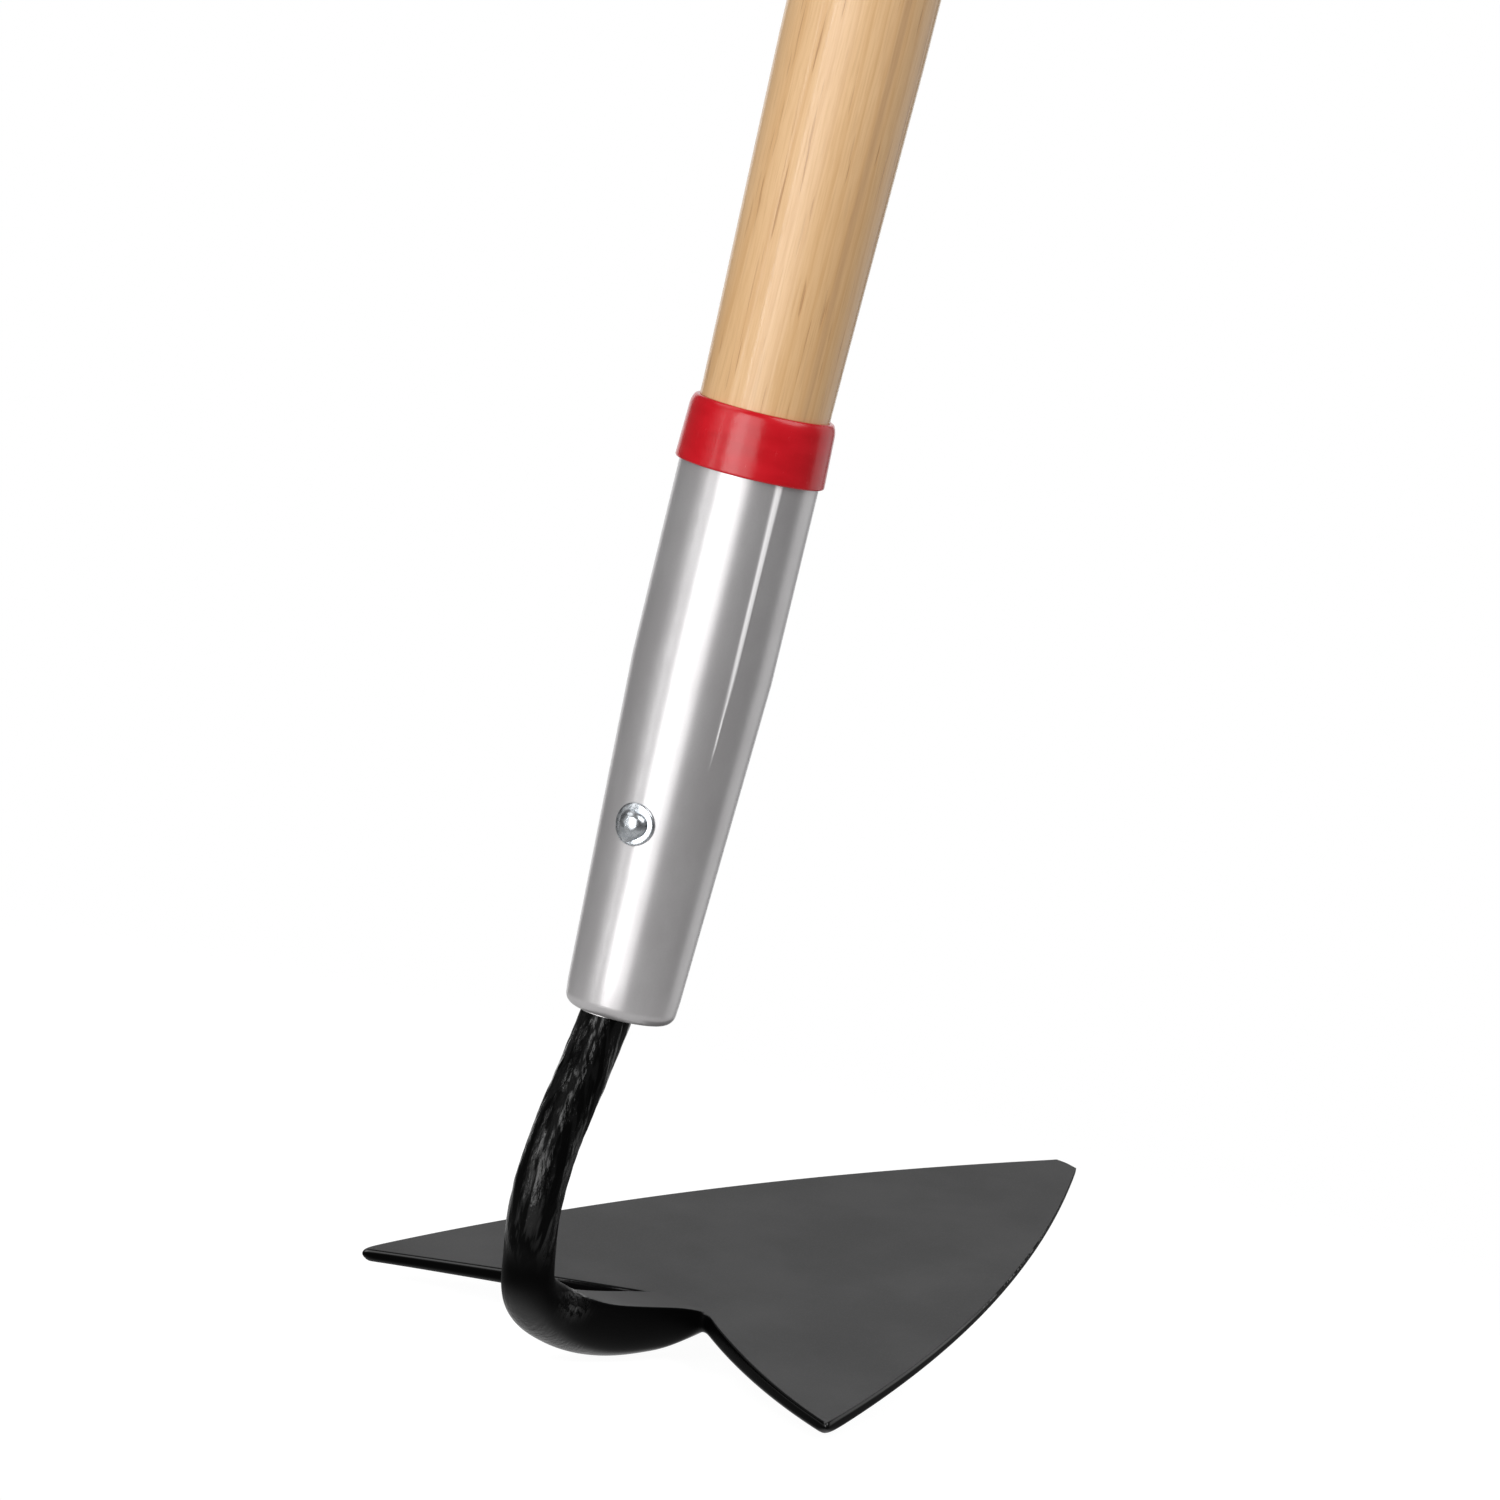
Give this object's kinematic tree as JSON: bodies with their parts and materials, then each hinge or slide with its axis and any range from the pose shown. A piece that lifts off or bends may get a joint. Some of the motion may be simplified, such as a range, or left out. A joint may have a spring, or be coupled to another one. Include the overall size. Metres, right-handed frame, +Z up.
{
  "type": "garden hoe",
  "caption": "Long-handled hoe: heart-shaped pointed blade on a bent forged neck, steel ferrule with a plastic collar, round wooden handle.",
  "frame": {"origin": "centre of the flat butt end of the handle; the tool hangs below it", "axes": "+Z up along the handle towards the butt, +X towards the blade's point, Y across the blade"},
  "size_m": [0.2153, 0.1262, 1.451],
  "materials": {
    "handle_wood": "clear lacquer on ash",
    "ferrule_steel": "satin",
    "collar_plastic": "semi-gloss moulded red",
    "head_enamel": "black enamel, glossy on the neck and dull on the blade",
    "rivet_steel": "bright zinc plate"
  },
  "bodies": {
    "root": {"handle": "handle_wood", "ferrule": "ferrule_steel", "ferrule_collar": "collar_plastic", "hoe_head": "head_enamel", "rivet": "rivet_steel", "rivet_burr": "rivet_steel"}
  },
  "joints": []
}
